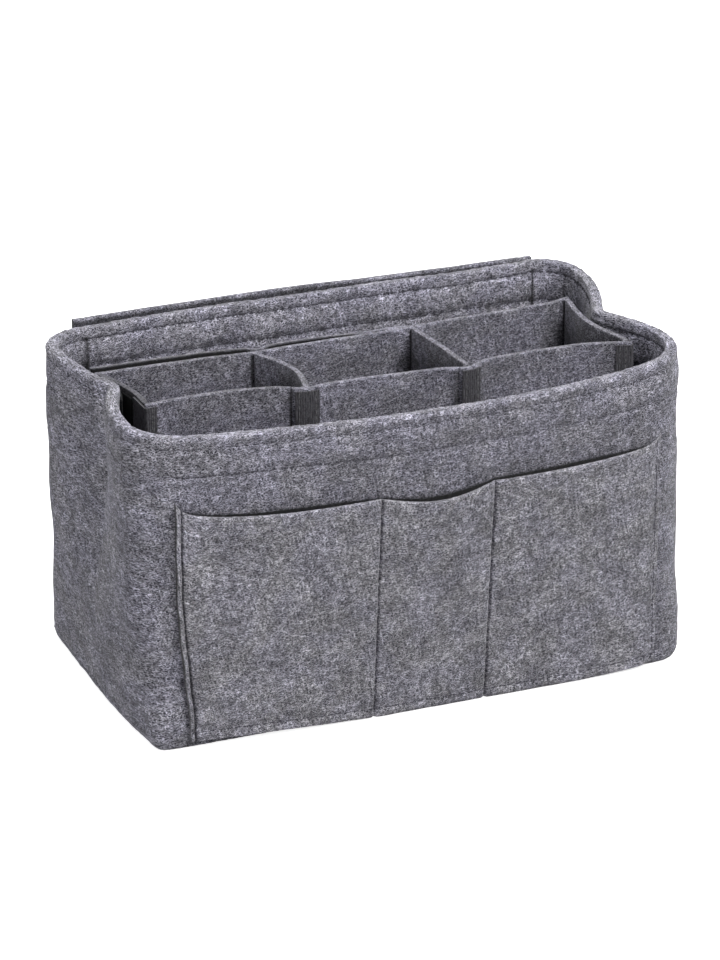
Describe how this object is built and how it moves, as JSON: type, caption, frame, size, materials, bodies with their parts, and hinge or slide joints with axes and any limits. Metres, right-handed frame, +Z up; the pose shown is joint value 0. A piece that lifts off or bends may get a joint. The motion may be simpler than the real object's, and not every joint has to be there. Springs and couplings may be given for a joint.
{
  "type": "purse organizer insert",
  "caption": "Open felt tub insert for a handbag, with slip pockets on the front and back and a lift-out divider that makes cells for small things.",
  "frame": {"origin": "the middle of the underside of the base", "axes": "+Z up, +X towards the right side as seen from the front, the pocket strip at the front faces -Y"},
  "size_m": [0.3162, 0.1991, 0.179],
  "materials": {
    "tub_felt": "thick needled polyester felt, blue grey heather, matt",
    "pocket_felt": "thick needled polyester felt, neutral grey heather, matt",
    "divider_felt": "thick needled polyester felt, grey heather, matt, cut edges showing",
    "ribbed_tape": "woven tape with ribs along its length, charcoal, dull",
    "hook_tape": "nylon hook tape, black",
    "loop_tape": "brushed nylon loop tape, black",
    "thread": "polyester sewing thread, grey, slight sheen"
  },
  "bodies": {
    "tub": {"back_base_thread": "thread", "back_hem_thread": "thread", "back_pocket_left_thread": "thread", "back_pocket_panel": "tub_felt", "back_pocket_right_thread": "thread", "back_rim_thread": "thread", "back_wall_wrap": "tub_felt", "base_panel": "tub_felt", "front_base_thread": "thread", "front_hem_thread": "thread", "front_pocket_panel": "pocket_felt", "front_rim_thread": "thread", "front_wall_wrap": "tub_felt", "left_base_thread": "thread", "left_loop_tape": "loop_tape", "pocket_left_edge_thread": "thread", "pocket_left_middle_thread": "thread", "pocket_right_edge_thread": "thread", "pocket_right_middle_thread": "thread", "right_base_thread": "thread", "right_loop_tape": "loop_tape"},
    "divider": {"divider_back_lining": "divider_felt", "divider_back_panel": "divider_felt", "divider_front_panel": "divider_felt", "first_joint_back_thread": "thread", "first_joint_left_thread": "thread", "first_joint_right_thread": "thread", "first_joint_tape": "ribbed_tape", "fourth_joint_back_thread": "thread", "fourth_joint_left_thread": "thread", "fourth_joint_right_thread": "thread", "fourth_joint_tape": "ribbed_tape", "left_cross_wall": "divider_felt", "left_end_wall": "divider_felt", "left_hook_tape": "hook_tape", "right_cross_wall": "divider_felt", "right_end_wall": "divider_felt", "right_hook_tape": "hook_tape", "second_joint_back_thread": "thread", "second_joint_left_thread": "thread", "second_joint_right_thread": "thread", "second_joint_tape": "ribbed_tape", "third_joint_back_thread": "thread", "third_joint_left_thread": "thread", "third_joint_right_thread": "thread", "third_joint_tape": "ribbed_tape"}
  },
  "joints": [
    {"name": "divider_lift", "type": "slide", "parent": "tub", "child": "divider", "axis": [0, 0, 1], "range_m": [0, 0.175]}
  ]
}
